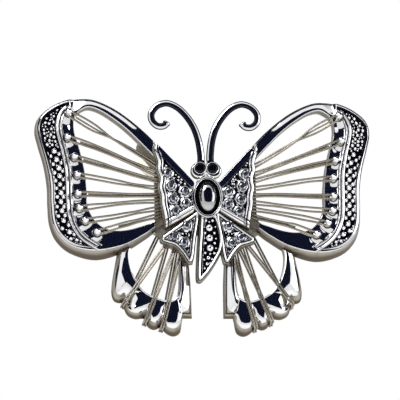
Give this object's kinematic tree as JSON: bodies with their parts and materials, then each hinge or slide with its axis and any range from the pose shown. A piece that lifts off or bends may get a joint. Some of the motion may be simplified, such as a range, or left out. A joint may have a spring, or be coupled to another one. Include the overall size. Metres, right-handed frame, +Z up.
{
  "type": "alligator hair clip",
  "caption": "Silver-tone butterfly ornament with pierced wings, wire veins and clear stones, soldered to a sprung alligator clip that grips a lock of hair.",
  "frame": {"origin": "on the hair line: the middle of the gap between the closed jaws, straight behind the middle of the butterfly's body", "axes": "+X to the ornament's right as seen from its front, -Y out of its front, +Z up along the body towards the head"},
  "size_m": [0.0762, 0.0169, 0.054],
  "materials": {
    "polished_silver": "bright rhodium-toned plating over smooth castings, with blackened recesses round the grains",
    "wire_silver": "drawn wire, softly bright",
    "base_metal": "plated plate and solder, lightly frosted",
    "crystal": "clear cut glass, foil backed",
    "jet": "polished black stone",
    "clip_steel": "nickel-plated pressed sheet, with fine rolling marks"
  },
  "bodies": {
    "ornament": {"left_forewing": "polished_silver", "right_forewing": "polished_silver", "left_hindwing": "polished_silver", "right_hindwing": "polished_silver", "hub_plate": "base_metal", "centre_ornament": "polished_silver", "cabochon": "polished_silver", "left_antenna": "polished_silver", "right_antenna": "polished_silver", "left_eye_stone": "jet", "right_eye_stone": "jet", "left_upper_stones": "crystal", "right_upper_stones": "crystal", "left_lower_stones": "crystal", "right_lower_stones": "crystal", "left_wire_pegs": "polished_silver", "right_wire_pegs": "polished_silver", "left_forewing_wires": "wire_silver", "right_forewing_wires": "wire_silver", "left_hindwing_wires": "wire_silver", "right_hindwing_wires": "wire_silver", "clip_upper_arm": "clip_steel", "hinge_pin": "clip_steel", "clip_spring": "clip_steel", "solder_pads": "base_metal"},
    "lower_arm": {"clip_lower_arm": "clip_steel"}
  },
  "joints": [
    {"name": "clip_hinge", "type": "hinge", "parent": "ornament", "child": "lower_arm", "pos_m": [-0.00697, 0.00056, 0.00578], "axis": [0.7193, 0, 0.6947], "range_deg": [0, 30], "stiffness_Nm_per_rad": 0.04, "springref_deg": -42.97, "deforming": ["clip_spring"]}
  ]
}
